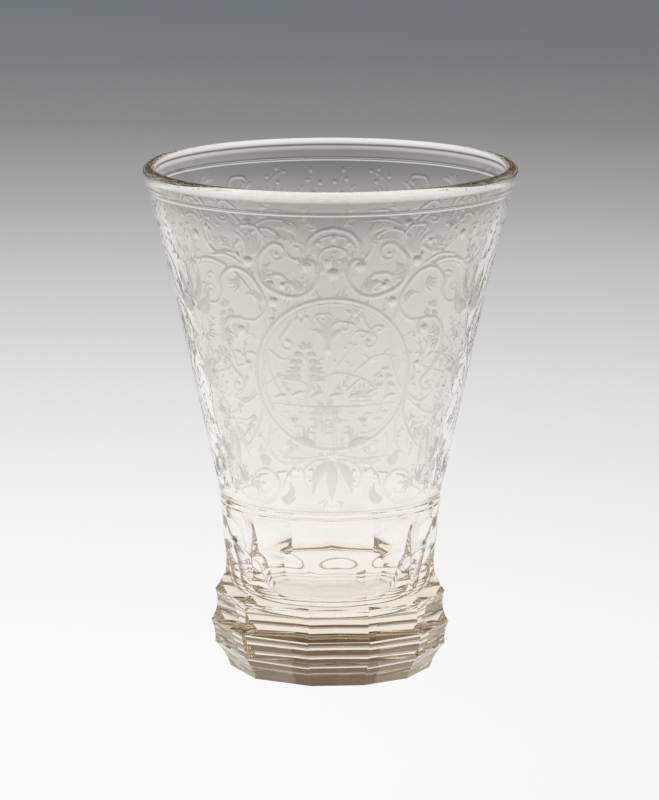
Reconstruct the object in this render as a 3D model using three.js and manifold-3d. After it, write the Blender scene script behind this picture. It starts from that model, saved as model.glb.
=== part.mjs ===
// Cut and engraved glass beaker, one piece of blown glass, millimetres, +Z up.
// The origin lies at the centre of the base, on the surface that the beaker stands on.
import * as THREE from 'three';
import { mergeVertices } from 'three/addons/utils/BufferGeometryUtils.js';
import Module from 'manifold-3d';

// Heights, stacked from the base edge to the top of the lip
const baseRowHeight = 6.2;      // base edge to the lowest ridge of the foot
const lowerRowHeight = 5.7;     // lowest ridge to the widest ridge
const upperRowHeight = 7.8;     // widest ridge to the shoulder ridge
const coveHeight = 8.0;         // shoulder ridge to the deepest part of the coves
const neckHeight = 14.6;        // deepest part of the coves to the lower ring line
const ringSpacing = 1.5;        // lower ring line to upper ring line
const bodyHeight = 76.6;        // upper ring line to the line under the lip
const lipBandHeight = 5.6;      // line under the lip to the top of the lip

// Radii: those of the foot are taken at the corners of its facets
const baseCornerRadius = 25.0;
const lowRidgeRadius = 28.75;
const wideRidgeRadius = 29.75;
const shoulderRadius = 28.75;
const neckRadius = 26.2;        // narrowest part of the round neck
const ringRadius = 27.3;        // outside at the two ring lines
const bandFootRadius = 45.3;    // outside at the line under the lip
const rimRadius = 46.2;         // widest part of the lip

// Wall, floor and the swing of the wall below the lip
const lipThickness = 3.1;
const lipOuterLean = 12.5;      // degrees that the plain band under the lip leans outwards
const lipInnerLean = 7.5;       // degrees that its inside leans, so that it thickens upwards
const wallThickness = 2.8;
const upperThickness = 2.4;     // the wall thins to this below the lip
const floorHeight = 15.6;       // solid glass under the cup
const floorRadius = 21.2;       // inside of the wall carried down to the floor
const bowlDepth = 12.0;         // height over which the blown bottom rounds into the wall
const bowlPower = 5.4;          // 2 is an ellipse, more is flatter in the middle
const flareHeight = 27.0;       // height below the lip line in which the wall swings out
const flareReach = 1.1;         // how far it swings out from the straight cone

// Ground and polished details
const lipLineWidth = 0.7;
const lipLineDepth = 0.13;
const ringLineWidth = 0.75;
const ringLineDepth = 0.22;

// Facets, cut by eye against grinding wheels, so that no two are quite as wide
const facetWidths = [37, 30, 30, 32, 35, 35, 28, 26, 34, 35, 38];   // degrees
const firstFacetEdge = -137.8;  // degrees, anticlockwise from +X seen from above
const baseWheelRadius = 14.5;   // wheel that hollows the row at the base
const lowerWheelRadius = 10.7;  // wheel of the row between the lowest and the widest ridge
const upperWheelRadius = 8.4;   // small wheel of the row under the shoulder
const coveWheelRadius = 11.3;   // wheel that cuts the coves into the neck

// Spare glass that the blank has outside the ridges before they are cut
const blankMargin = 0.6;

// Fineness of the flats that stand for round surfaces
const turnSteps = 72;           // round the beaker
const wheelSteps = 60;          // round a grinding wheel
const profileStep = 15;         // degrees between points on the small curves of the section
const bowlStep = 7.5;           // degrees between points on the bottom of the cup

const lowRidgeZ = baseRowHeight;
const wideRidgeZ = lowRidgeZ + lowerRowHeight;
const shoulderZ = wideRidgeZ + upperRowHeight;
const coveZ = shoulderZ + coveHeight;
const lowerRingZ = coveZ + neckHeight;
const upperRingZ = lowerRingZ + ringSpacing;
const lipLineZ = upperRingZ + bodyHeight;
const topZ = lipLineZ + lipBandHeight;

const degrees = THREE.MathUtils.degToRad;

// Outside of the engraved wall: a straight cone that swings out over its last stretch
function bodyRadiusAt(z) {
  const share = (z - upperRingZ) / bodyHeight;
  const cone = THREE.MathUtils.lerp(ringRadius, bandFootRadius - flareReach, share);
  const swing = Math.max(0, (z - lipLineZ + flareHeight) / flareHeight);
  return cone + flareReach * swing * swing;
}

// Inside of the wall, which thins a little over that stretch
function insideRadiusAt(z) {
  const share = Math.max(0, (z - lipLineZ + flareHeight) / flareHeight);
  return bodyRadiusAt(z) - THREE.MathUtils.lerp(wallThickness, upperThickness, share);
}

// Outside of the neck: a slow curve from its waist out to the ring lines
function neckRadiusAt(z) {
  const share = Math.max(0, (z - coveZ) / neckHeight);
  return neckRadius + (ringRadius - neckRadius) * share * share;
}

// Points of a circular arc, both ends included, angles in degrees
function arc(centreR, centreZ, radius, from, to) {
  const steps = Math.max(1, Math.ceil(Math.abs(to - from) / profileStep));
  return Array.from({ length: steps + 1 }, (_, i) => {
    const angle = degrees(THREE.MathUtils.lerp(from, to, i / steps));
    return new THREE.Vector2(centreR + radius * Math.cos(angle), centreZ + radius * Math.sin(angle));
  });
}

// Points on a curve given as a radius for each height
function along(radiusAt, fromZ, toZ, steps) {
  return Array.from({ length: steps + 1 }, (_, i) => {
    const z = THREE.MathUtils.lerp(fromZ, toZ, i / steps);
    return new THREE.Vector2(radiusAt(z), z);
  });
}

// A line ground round the glass: a shallow V in the outside, listed upwards
function groundLine(radiusAt, z, width, depth) {
  return [
    new THREE.Vector2(radiusAt(z - width / 2), z - width / 2),
    new THREE.Vector2(radiusAt(z) - depth, z),
    new THREE.Vector2(radiusAt(z + width / 2), z + width / 2),
  ];
}

// Blown bottom of the cup, listed downwards: the straight inside below a point of the wall,
// drawn in towards the axis along a curve between an ellipse and a rectangle
function bowl(wallFoot) {
  const steps = Math.ceil(90 / bowlStep);
  const edge = floorHeight + bowlDepth;
  return Array.from({ length: steps + 1 }, (_, i) => {
    const turn = Math.PI / 2 * i / steps;
    const z = i === steps ? floorHeight : edge - bowlDepth * Math.sin(turn) ** (2 / bowlPower);
    const share = (z - floorHeight) / (wallFoot.y - floorHeight);
    const side = THREE.MathUtils.lerp(floorRadius, wallFoot.x, share);
    return new THREE.Vector2(i === steps ? 0 : side * Math.cos(turn) ** (2 / bowlPower), z);
  });
}

// Half section of the blank before the facets are cut, from the axis out, up and back in
function blankProfile() {
  const blankRadius = Math.max(lowRidgeRadius, wideRidgeRadius, shoulderRadius) + blankMargin;
  const foot = [
    new THREE.Vector2(0, 0),
    new THREE.Vector2(blankRadius, 0),
    new THREE.Vector2(blankRadius, shoulderZ),
  ];
  const neckTop = lowerRingZ - ringLineWidth / 2;
  const neck = along(neckRadiusAt, coveZ + blankMargin, neckTop, 6);
  const lowerRing = groundLine(() => ringRadius, lowerRingZ, ringLineWidth, ringLineDepth);
  const upperRing = groundLine(() => ringRadius, upperRingZ, ringLineWidth, ringLineDepth);
  const cone = along(bodyRadiusAt, lipLineZ - flareHeight, lipLineZ - lipLineWidth / 2, 6);
  const lipLine = groundLine(bodyRadiusAt, lipLineZ, lipLineWidth, lipLineDepth);
  const lipRadius = lipThickness / 2;
  const lipZ = topZ - lipRadius;
  const roll = (from, to) => arc(rimRadius - lipRadius, lipZ, lipRadius, from, to);
  const lip = [
    ...roll(-lipOuterLean, 0).slice(0, -1),
    ...roll(0, 180),
    ...roll(180, 180 + lipInnerLean).slice(1),
  ];
  const lipInside = z => lip.at(-1).x - (lip.at(-1).y - z) * Math.tan(degrees(lipInnerLean));
  const inside = z => Math.min(insideRadiusAt(z), lipInside(z));
  const wall = along(inside, lipLineZ, lipLineZ - flareHeight, 6);
  return [
    ...foot, ...neck.slice(0, -1), ...lowerRing, ...upperRing,
    ...cone, ...lipLine.slice(1), ...lip, ...wall, ...bowl(wall.at(-1)),
  ];
}

// Closed body of revolution about the Z axis from a profile that starts and ends on it
function revolve(profile) {
  const geometry = new THREE.LatheGeometry(profile, turnSteps);
  geometry.rotateX(Math.PI / 2);
  return geometry;
}

// Middle direction and half width of each facet round the foot, in radians
function facets() {
  const whole = facetWidths.reduce((sum, width) => sum + width, 0);
  let edge = degrees(firstFacetEdge);
  return facetWidths.map(width => {
    const half = Math.PI * width / whole;
    edge += 2 * half;
    return { middle: edge - half, half };
  });
}

// Grinding wheel whose rim passes through two points of a facet's middle line. The points
// are given as radius and height at the facet's corners, and half is half the facet's width.
function wheel(lower, upper, radius, half) {
  const inset = Math.cos(half);
  const from = new THREE.Vector2(lower.x * inset, lower.y);
  const to = new THREE.Vector2(upper.x * inset, upper.y);
  const middle = from.clone().add(to).multiplyScalar(0.5);
  const chord = to.clone().sub(from);
  const rise = Math.sqrt(radius ** 2 - chord.lengthSq() / 4);
  const outward = new THREE.Vector2(chord.y, -chord.x).normalize();
  const centre = middle.addScaledVector(outward, rise);
  const width = 2 * (wideRidgeRadius + shoulderRadius);
  const geometry = new THREE.CylinderGeometry(radius, radius, width, wheelSteps);
  geometry.translate(centre.x, 0, centre.y);
  return geometry;
}

const wasm = await Module();
wasm.setup();

// Closed three.js geometry as a solid that can be joined and cut
function solid(geometry) {
  const bare = geometry.clone();
  bare.deleteAttribute('normal');
  bare.deleteAttribute('uv');
  const merged = mergeVertices(bare, 1e-5);
  const index = Array.from(merged.index.array);
  const whole = [];
  for (let i = 0; i < index.length; i += 3) {
    const [a, b, c] = index.slice(i, i + 3);
    if (a !== b && b !== c && c !== a) {
      whole.push(a, b, c);
    }
  }
  return new wasm.Manifold(new wasm.Mesh({
    numProp: 3,
    vertProperties: new Float32Array(merged.attributes.position.array),
    triVerts: new Uint32Array(whole),
  }));
}

// Solid back to a three.js geometry
function geometryOf(manifold) {
  const { numProp, vertProperties, triVerts } = manifold.getMesh();
  const geometry = new THREE.BufferGeometry();
  const points = new Float32Array(vertProperties.length / numProp * 3);
  for (let i = 0; i < points.length / 3; i += 1) {
    points.set(vertProperties.slice(i * numProp, i * numProp + 3), i * 3);
  }
  geometry.setAttribute('position', new THREE.BufferAttribute(points, 3));
  geometry.setIndex(new THREE.BufferAttribute(new Uint32Array(triVerts), 1));
  geometry.computeVertexNormals();
  return geometry;
}

// The foot's three rows and the coves above them, cut into the blank facet by facet
function cutFacets(blank) {
  const baseCorner = new THREE.Vector2(baseCornerRadius, 0);
  const lowRidge = new THREE.Vector2(lowRidgeRadius, lowRidgeZ);
  const wideRidge = new THREE.Vector2(wideRidgeRadius, wideRidgeZ);
  const shoulder = new THREE.Vector2(shoulderRadius, shoulderZ);
  const cove = new THREE.Vector2(neckRadius, coveZ);
  const rows = [
    [baseCorner, lowRidge, baseWheelRadius],
    [lowRidge, wideRidge, lowerWheelRadius],
    [wideRidge, shoulder, upperWheelRadius],
    [shoulder, cove, coveWheelRadius],
  ];
  let glass = blank;
  for (const { middle, half } of facets()) {
    for (const [lower, upper, radius] of rows) {
      const cutter = wheel(lower, upper, radius, half);
      cutter.rotateZ(middle);
      glass = glass.subtract(solid(cutter));
    }
  }
  return glass;
}

const clearGlass = new THREE.MeshStandardMaterial({
  color: 0xeef0ee,
  roughness: 0.04,
  metalness: 0,
  transparent: true,
  opacity: 0.35,
});

const beaker = new THREE.Mesh(geometryOf(cutFacets(solid(revolve(blankProfile())))), clearGlass);
beaker.name = 'beaker';

const part = new THREE.Group();
part.add(beaker);

export default part;
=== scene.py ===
"""A cut and engraved glass beaker, standing on a pale studio floor."""
import logging
import math
from dataclasses import dataclass, field, replace
from enum import Enum
from typing import Callable

import bpy
import numpy as np
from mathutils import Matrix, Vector


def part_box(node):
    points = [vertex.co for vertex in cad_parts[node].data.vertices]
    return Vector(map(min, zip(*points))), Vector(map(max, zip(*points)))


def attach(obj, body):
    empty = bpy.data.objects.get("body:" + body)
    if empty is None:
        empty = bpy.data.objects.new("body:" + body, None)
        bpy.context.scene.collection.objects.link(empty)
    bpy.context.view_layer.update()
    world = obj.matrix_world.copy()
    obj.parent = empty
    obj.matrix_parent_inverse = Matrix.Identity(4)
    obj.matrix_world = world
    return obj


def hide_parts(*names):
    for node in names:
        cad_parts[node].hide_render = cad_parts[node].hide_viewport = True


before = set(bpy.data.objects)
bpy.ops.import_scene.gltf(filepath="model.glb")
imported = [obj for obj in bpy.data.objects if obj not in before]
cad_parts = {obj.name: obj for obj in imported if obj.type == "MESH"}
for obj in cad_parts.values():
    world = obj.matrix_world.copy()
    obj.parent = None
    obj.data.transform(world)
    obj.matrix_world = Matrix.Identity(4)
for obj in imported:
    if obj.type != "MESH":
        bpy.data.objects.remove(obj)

LOG = logging.getLogger("beaker")
MM = 0.001
FRONT = -90.0
SEED = 17
Point = tuple[float, float]
Span = tuple[float, float]
Colour = tuple[float, float, float]
Tones = tuple[tuple[float, float | Colour], ...]


@dataclass(frozen=True)
class Grind:
    """How a wheel cuts: its section, the share left matt, and how far the cut leans to its lower edge."""

    power: float = 2.0
    vee: float = 0.0
    frost: float = 0.8
    lean: float = 0.5

    def section(self, offset: np.ndarray) -> np.ndarray:
        """Depth of the cut across its width.

        Args:
            offset: Distance from the middle of the cut, as a share of its half width.

        Returns:
            Depth as a share of the full depth, nought outside the cut.
        """
        inside = np.clip(offset, 0, 1)
        return 1 - self.vee * inside - (1 - self.vee) * inside ** self.power


class Wheel(Enum):
    """Copper wheels of the engraver."""

    ROUND = Grind()
    POINT = Grind(vee=0.5, frost=1.0)
    BROAD = Grind(power=4.0, lean=0.3)
    STRAP = Grind(frost=0.5, lean=0.75)
    BEAD = Grind(frost=0.0, lean=0.0)


@dataclass(frozen=True)
class Curl:
    """End of a band that rolls up into a volute."""

    radius: float
    turns: float = 0.8
    side: int = 1
    bead: float = 0.0
    shrink: float = 0.6


def smooth_path(points: list[Point], step: float, between: int = 12) -> np.ndarray:
    """Points at even steps on a smooth curve through the given ones.

    Args:
        points: Corners of the path, in millimetres.
        step: Distance wanted between the points that come back.
        between: Points worked out on the curve between two corners.

    Returns:
        Array of points, one row each.
    """
    p = np.array(points, dtype=float)
    if len(p) == 2:
        p = np.array([p[0], p.mean(0), p[1]])
    padded = np.vstack([2 * p[0] - p[1], p, 2 * p[-1] - p[-2]])
    t = np.linspace(0, 1, between, endpoint=False)[:, None]
    runs = []
    for a, b, c, d in zip(padded, padded[1:], padded[2:], padded[3:]):
        runs.append(0.5 * (2 * b + (c - a) * t + (2 * a - 5 * b + 4 * c - d) * t ** 2
                           + (3 * b - a - 3 * c + d) * t ** 3))
    dense = np.vstack(runs + [p[-1:]])
    length = np.concatenate([[0], np.cumsum(np.hypot(*np.diff(dense, axis=0).T))])
    count = max(3, math.ceil(length[-1] / step) + 1)
    even = np.linspace(0, length[-1], count)
    return np.column_stack([np.interp(even, length, dense[:, k]) for k in (0, 1)])


def roll_up(path: np.ndarray, curl: Curl, step: float) -> tuple[np.ndarray, Point]:
    """Carry a path on into a volute from its last point.

    Args:
        path: Points of the band, the last two of which give its heading.
        curl: How far and to which side it rolls up.
        step: Distance between points.

    Returns:
        The path with its volute, and the eye of the volute.
    """
    here = path[-1].copy()
    heading = math.atan2(*(path[-1] - path[-2])[::-1])
    total = curl.turns * 2 * math.pi
    turned, extra, radius = 0.0, [], curl.radius
    while turned < total:
        radius = curl.radius * (1 - curl.shrink * turned / total)
        turn = step / radius
        heading += curl.side * turn
        turned += turn
        here = here + step * np.array([math.cos(heading), math.sin(heading)])
        extra.append(here)
    inward = heading + curl.side * math.pi / 2
    eye = here + radius * np.array([math.cos(inward), math.sin(inward)])
    return np.vstack([path, extra]), (float(eye[0]), float(eye[1]))


@dataclass
class WallSheet:
    """The engraved wall rolled out flat: a grid of cut depths and of matt shares."""

    angles: np.ndarray
    heights: np.ndarray
    radii: np.ndarray
    depth: np.ndarray = field(init=False)
    frost: np.ndarray = field(init=False)
    run_length: int = 24
    edge_crispness: float = 4.0

    def __post_init__(self) -> None:
        """Start with an uncut, clear wall."""
        self.depth = np.zeros((len(self.heights), len(self.angles)))
        self.frost = np.zeros_like(self.depth)

    def cut(self, angle: float, path: np.ndarray, halves: np.ndarray, depths: np.ndarray,
            wheel: Wheel) -> None:
        """Grind one stroke into the wall.

        Args:
            angle: Direction of the design's middle line, in degrees from the front.
            path: Points of the stroke, as arc length from that line and height.
            halves: Half width of the cut at each point.
            depths: Depth of the cut at each point.
            wheel: Wheel that makes it.
        """
        for first in range(0, len(path), self.run_length):
            part = slice(first, first + self.run_length + 1)
            self._cut_run(angle, path[part], halves[part], depths[part], wheel.value)

    def _cut_run(self, angle: float, path: np.ndarray, halves: np.ndarray, depths: np.ndarray,
                 grind: Grind) -> None:
        """Grind one short run of a stroke, in the window of the sheet that it reaches.

        Args:
            angle: Direction of the design's middle line, in degrees from the front.
            path: Points of the run.
            halves: Half width of the cut at each point.
            depths: Depth of the cut at each point.
            grind: How the wheel cuts.
        """
        reach = halves.max()
        low, high = path[:, 1].min() - reach, path[:, 1].max() + reach
        rows = np.nonzero((self.heights >= low) & (self.heights <= high))[0]
        if not len(rows):
            return
        away = (self.angles - math.radians(angle) + math.pi) % (2 * math.pi) - math.pi
        narrow, wide = self.radii[rows].min(), self.radii[rows].max()
        left, right = path[:, 0].min() - reach, path[:, 0].max() + reach
        left /= narrow if left < 0 else wide
        right /= narrow if right > 0 else wide
        columns = np.nonzero((away >= left) & (away <= right))[0]
        if not len(columns):
            return
        across = self.radii[rows][:, None] * away[columns][None, :]
        up = np.broadcast_to(self.heights[rows][:, None], across.shape)
        gap = np.hypot(across[..., None] - path[:, 0], up[..., None] - path[:, 1]) / halves
        nearest = gap.argmin(axis=-1)
        least = np.take_along_axis(gap, nearest[..., None], axis=-1)[..., 0]
        drop = (path[nearest, 1] - up) / halves[nearest]
        cut = grind.section(least) * depths[nearest] * (1 + grind.lean * np.clip(drop, -1, 1))
        window = np.ix_(rows, columns)
        deeper = (cut > self.depth[window]) & (least < 1)
        cover = np.clip((1 - least) * self.edge_crispness, 0, 1) * grind.frost
        self.frost[window] = np.where(deeper, cover, self.frost[window])
        self.depth[window] = np.where(deeper, cut, self.depth[window])


@dataclass
class Engraver:
    """Hand that draws bands, beads and leaves on the wall about one middle line."""

    sheet: WallSheet
    angle: float = 0.0
    side: int = 1
    step: float = 0.22
    band_depth: float = 0.06
    leaf_depth: float = 0.075
    bead_depth: float = 0.14
    hair_depth: float = 0.03
    taper_power: float = 0.7
    band_taper: float = 0.3
    hair_tip: float = 0.35
    leaf_tip: float = 0.12
    leaf_fullness: float = 0.75
    bead_spread: float = 1.15
    unsteadiness: float = 0.1
    draws: np.random.Generator = field(default_factory=lambda: np.random.default_rng(SEED))

    def at(self, angle: float, side: int = 1) -> "Engraver":
        """Same hand, working about another middle line or on the mirrored side."""
        return replace(self, angle=angle, side=side)

    def _grind(self, path: np.ndarray, halves: np.ndarray, depth: float, wheel: Wheel) -> None:
        """Place a stroke with the slight unsteadiness of a hand and cut it.

        Args:
            path: Points of the stroke.
            halves: Half width at each point.
            depth: Depth where the stroke is widest.
            wheel: Wheel that cuts it.
        """
        drift = self.draws.normal(0, self.unsteadiness, 2)
        placed = (path + drift) * (self.side, 1)
        depths = depth * (halves / halves.max()) ** self.taper_power
        self.sheet.cut(self.angle, placed, halves, depths, wheel)

    def _touch(self, centre: Point, radius: float, depth: float, wheel: Wheel) -> None:
        """Cut one round dot."""
        self._grind(np.array([centre]), np.array([radius]), depth, wheel)

    def band(self, points: list[Point], width: float = 1.3, first: Curl | None = None,
             last: Curl | None = None, tips: Span = (1.0, 1.0)) -> None:
        """Cut a strap with a round wheel.

        Args:
            points: Path of its middle, in millimetres.
            width: Width of the strap.
            first: Volute at its start, if it has one.
            last: Volute at its end, if it has one.
            tips: Width left at the start and at the end, as shares.
        """
        path = smooth_path(points, self.step)
        for curl, flip in ((last, False), (first, True)):
            if curl is None:
                continue
            path = path[::-1] if flip else path
            path, eye = roll_up(path, curl, self.step)
            path = path[::-1] if flip else path
            if curl.bead:
                self.bead(eye, curl.bead)
        share = np.linspace(0, 1, len(path))
        bends = (0, self.band_taper, 1 - self.band_taper, 1)
        ease = np.interp(share, bends, (tips[0], 1, 1, tips[1]))
        self._grind(path, width / 2 * ease, self.band_depth, Wheel.STRAP)

    def hair(self, points: list[Point], width: float = 0.45) -> None:
        """Scratch a thin line with tapered ends.

        Args:
            points: Path of the line.
            width: Width in its middle.
        """
        path = smooth_path(points, self.step)
        swell = np.sin(np.linspace(0, math.pi, len(path)))
        halves = width / 2 * (self.hair_tip + (1 - self.hair_tip) * swell)
        self._grind(path, halves, self.hair_depth, Wheel.POINT)

    def bead(self, centre: Point, radius: float) -> None:
        """Cut and polish a round hollow."""
        self._touch(centre, self.bead_spread * radius, self.bead_depth * min(1.0, radius), Wheel.BEAD)

    def leaf(self, base: Point, heading: float, length: float, width: float = 1.2,
             bend: float = 0.25, wheel: Wheel = Wheel.POINT) -> None:
        """Cut one curved leaflet.

        Args:
            base: Where it springs from.
            heading: Direction of its chord in degrees, anticlockwise from the right.
            length: Length of the chord.
            width: Greatest width.
            bend: How far its middle bows to the left of the chord, as a share of the length.
            wheel: Wheel that cuts it.
        """
        share = np.linspace(0, 1, max(4, math.ceil(length / self.step)))
        angle = math.radians(heading)
        along = np.array([math.cos(angle), math.sin(angle)])
        left = np.array([-along[1], along[0]])
        bow = 4 * bend * share * (1 - share)
        path = np.array(base) + length * (share[:, None] * along + bow[:, None] * left)
        swell = np.sin(math.pi * share ** self.leaf_fullness)
        halves = width / 2 * (self.leaf_tip + (1 - self.leaf_tip) * swell)
        least, full_width = 0.55, 3.0
        self._grind(path, halves, self.leaf_depth * min(1.0, least + width / full_width), wheel)

    def fan(self, base: Point, headings: Span, lengths: Span, count: int, width: float = 1.1,
            bend: float = 0.2, wheel: Wheel = Wheel.POINT) -> None:
        """Cut leaflets that spread from one point.

        Args:
            base: Where they spring from.
            headings: Directions of the first and last, in degrees.
            lengths: Lengths of the first and last.
            count: Number of leaflets.
            width: Greatest width of each.
            bend: How far each bows.
            wheel: Wheel that cuts them.
        """
        for k in range(count):
            share = k / max(1, count - 1)
            heading = headings[0] + (headings[1] - headings[0]) * share
            length = lengths[0] + (lengths[1] - lengths[0]) * share
            self.leaf(base, heading, length, width, bend, wheel)

    def frond(self, spine: list[Point], count: int, length: float, spread: float = 40.0,
              width: float = 0.9, sides: tuple[int, ...] = (-1, 1)) -> None:
        """Cut an acanthus or sprig: a spine with leaflets that shorten towards its tip.

        Args:
            spine: Path of the stem.
            count: Number of leaflets on each side.
            length: Length of the longest leaflet.
            spread: Angle between a leaflet and the stem, in degrees.
            width: Width of the longest leaflet.
            sides: Sides of the stem that bear leaflets.
        """
        stem_width, bare, leafy, shrink, bend = 0.5, 0.12, 0.83, 0.55, 0.18
        path = smooth_path(spine, self.step)
        self.hair([tuple(p) for p in path[::4]] + [tuple(path[-1])], stem_width)
        for k in range(count):
            share = bare + leafy * k / max(1, count - 1)
            at = min(len(path) - 2, int(share * (len(path) - 1)))
            ahead = math.degrees(math.atan2(*(path[at + 1] - path[at])[::-1]))
            size = 1 - shrink * share
            for side in sides:
                self.leaf(tuple(path[at]), ahead + side * spread, length * size, width * size,
                          -bend * side)

    def berries(self, stem: list[Point], count: int, radius: float = 0.45, reach: float = 1.4) -> None:
        """Cut a thin stem with small matt berries to its left and right.

        Args:
            stem: Path of the stem.
            count: Number of berries, the last of which sits on the tip.
            radius: Radius of each.
            reach: Distance from the stem.
        """
        stem_width, bare = 0.4, 0.3
        path = smooth_path(stem, self.step)
        self.hair(stem, stem_width)
        for k in range(count):
            at = int((bare + (1 - bare) * k / max(1, count - 1)) * (len(path) - 2))
            ahead = path[at + 1] - path[at]
            left = np.array([-ahead[1], ahead[0]]) / np.hypot(*ahead)
            offset = reach * (0 if k == count - 1 else (-1) ** k)
            self._touch(path[at] + left * offset, radius, self.leaf_depth, Wheel.ROUND)

    def flower(self, centre: Point, radius: float, petals: int, width: float, turn: float = 0.0) -> None:
        """Cut an open flower: petals round a polished eye.

        Args:
            centre: Middle of the flower.
            radius: Reach of its petals.
            petals: Number of petals.
            width: Width of each petal.
            turn: Direction of the first petal, in degrees.
        """
        start, length, bend, eye = 0.25, 0.8, 0.06, 0.3
        for k in range(petals):
            heading = turn + 360 * k / petals
            away = math.radians(heading)
            right, up = math.cos(away), math.sin(away)
            foot = (centre[0] + start * radius * right, centre[1] + start * radius * up)
            self.leaf(foot, heading, length * radius, width, bend, Wheel.ROUND)
        self.bead(centre, eye * radius)


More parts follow.
